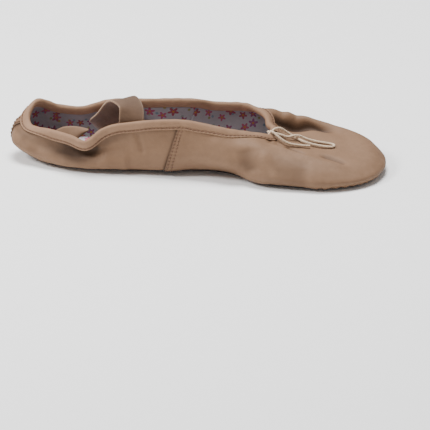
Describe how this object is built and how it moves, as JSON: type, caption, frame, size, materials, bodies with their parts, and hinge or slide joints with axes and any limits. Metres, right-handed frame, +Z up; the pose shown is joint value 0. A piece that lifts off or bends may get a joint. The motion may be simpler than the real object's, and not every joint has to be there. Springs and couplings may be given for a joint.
{
  "type": "ballet slipper",
  "caption": "Soft leather ballet slipper lying empty, with a drawstring collar, printed cotton lining, suede sole and a sewn-in elastic strap",
  "frame": {"origin": "middle of the bounding box in plan, at floor level under the outsole", "axes": "+X towards the toe, -Y the near side, +Y the far side, +Z up"},
  "size_m": [0.2394, 0.0784, 0.0459],
  "materials": {
    "leather": "soft full-grain tan leather, fine grain, low sheen",
    "casing": "thin tan leather strip, edge stitched",
    "lining": null,
    "suede": "dark grey suede, brushed",
    "board": "fibre board",
    "foam": "soft foam",
    "elastic": "woven tan elastic",
    "cord": "round braided elastic cord",
    "thread": "twisted sewing thread"
  },
  "bodies": {
    "shoe": {"vamp": "leather", "near_quarter": "leather", "far_quarter": "leather", "vamp_lining": "lining", "near_quarter_lining": "lining", "far_quarter_lining": "lining", "drawstring_casing": "casing", "outsole": "suede", "insole_board": "board", "foam_pad": "foam", "sock_lining": "lining", "heel_grip": "leather", "drawstring": "cord", "drawstring_knot": "cord", "near_side_stitches": "thread", "far_side_stitches": "thread", "back_seam_stitches": "thread", "casing_stitches": "thread", "sole_stitches": "thread"},
    "strap": {"elastic_strap": "elastic", "strap_near_stitches": "thread", "strap_far_stitches": "thread"},
    "loop": {"drawstring_loop": "cord"},
    "tail": {"drawstring_tail": "cord"}
  },
  "joints": [
    {"name": "strap_swing", "type": "hinge", "parent": "shoe", "child": "strap", "pos_m": [-0.0398, 0, 0.03], "axis": [0, 1, 0], "range_deg": [0, 90]},
    {"name": "loop_lift", "type": "hinge", "parent": "shoe", "child": "loop", "pos_m": [0.0465, -0.003, 0.0246], "axis": [0, -1, 0], "range_deg": [0, 150]},
    {"name": "tail_lift", "type": "hinge", "parent": "shoe", "child": "tail", "pos_m": [0.0465, -0.003, 0.0246], "axis": [0, -1, 0], "range_deg": [0, 100]}
  ]
}
